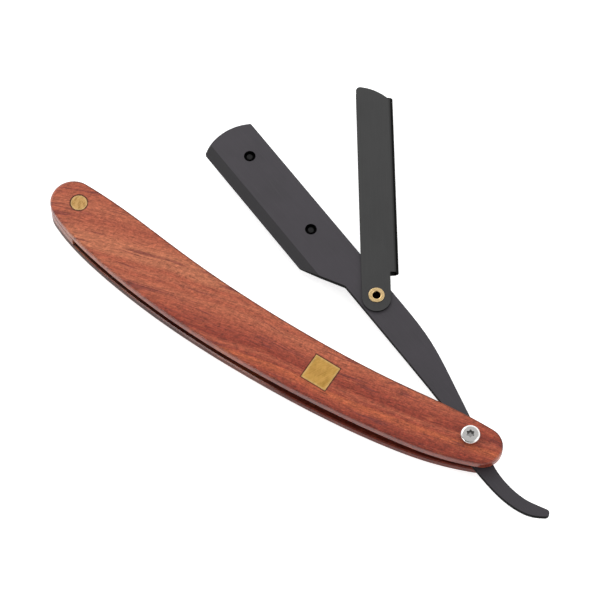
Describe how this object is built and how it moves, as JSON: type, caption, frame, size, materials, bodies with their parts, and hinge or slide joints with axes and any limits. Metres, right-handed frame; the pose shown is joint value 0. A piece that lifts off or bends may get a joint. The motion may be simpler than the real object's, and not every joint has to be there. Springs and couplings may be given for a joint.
{
  "type": "straight razor",
  "caption": "Folding straight razor holder for replaceable blades: wooden handle, black arm with a pegged blade head, and a channel that swings over the spine to lock it.",
  "frame": {"origin": "pivot axis at the outer face of the back scale, which is the face the razor lies on", "axes": "+X from the butt pin along the handle to the pivot and the tail, +Y to the side of the handle that the head stands on when the razor is open, +Z from the back scale to the front scale, along both hinge axes"},
  "size_m": [0.1653, 0.0929, 0.0113],
  "materials": {
    "wood": "satin lacquer",
    "spacer": "satin lacquer",
    "brass_pin": "polished",
    "brass_inlay": "brushed",
    "screw_steel": "bright",
    "washer_brass": "satin",
    "black_steel": "satin black coating",
    "peg_steel": "satin black coating",
    "brass_rivet": "polished",
    "black_lock": "satin black coating"
  },
  "bodies": {
    "handle": {"front_scale": "wood", "back_scale": "wood", "end_spacer": "spacer", "end_pin": "brass_pin", "inlay_square": "brass_inlay", "pivot_screw": "screw_steel", "pivot_barrel_nut": "screw_steel", "front_washer": "washer_brass", "back_washer": "washer_brass"},
    "arm": {"blade_arm": "black_steel", "back_leaf": "black_steel", "peg_tip": "peg_steel", "peg_heel": "peg_steel", "lock_rivet": "brass_rivet"},
    "lock": {"swing_lock": "black_lock"}
  },
  "joints": [
    {"name": "arm_pivot", "type": "hinge", "parent": "handle", "child": "arm", "pos_m": [0, 0, 0.00475], "axis": [0, 0, 1], "range_deg": [-248, 22]},
    {"name": "lock_swing", "type": "hinge", "parent": "arm", "child": "lock", "pos_m": [-0.0444, 0.0228, 0.00475], "axis": [0, 0, 1], "range_deg": [-74, 36.3]}
  ]
}
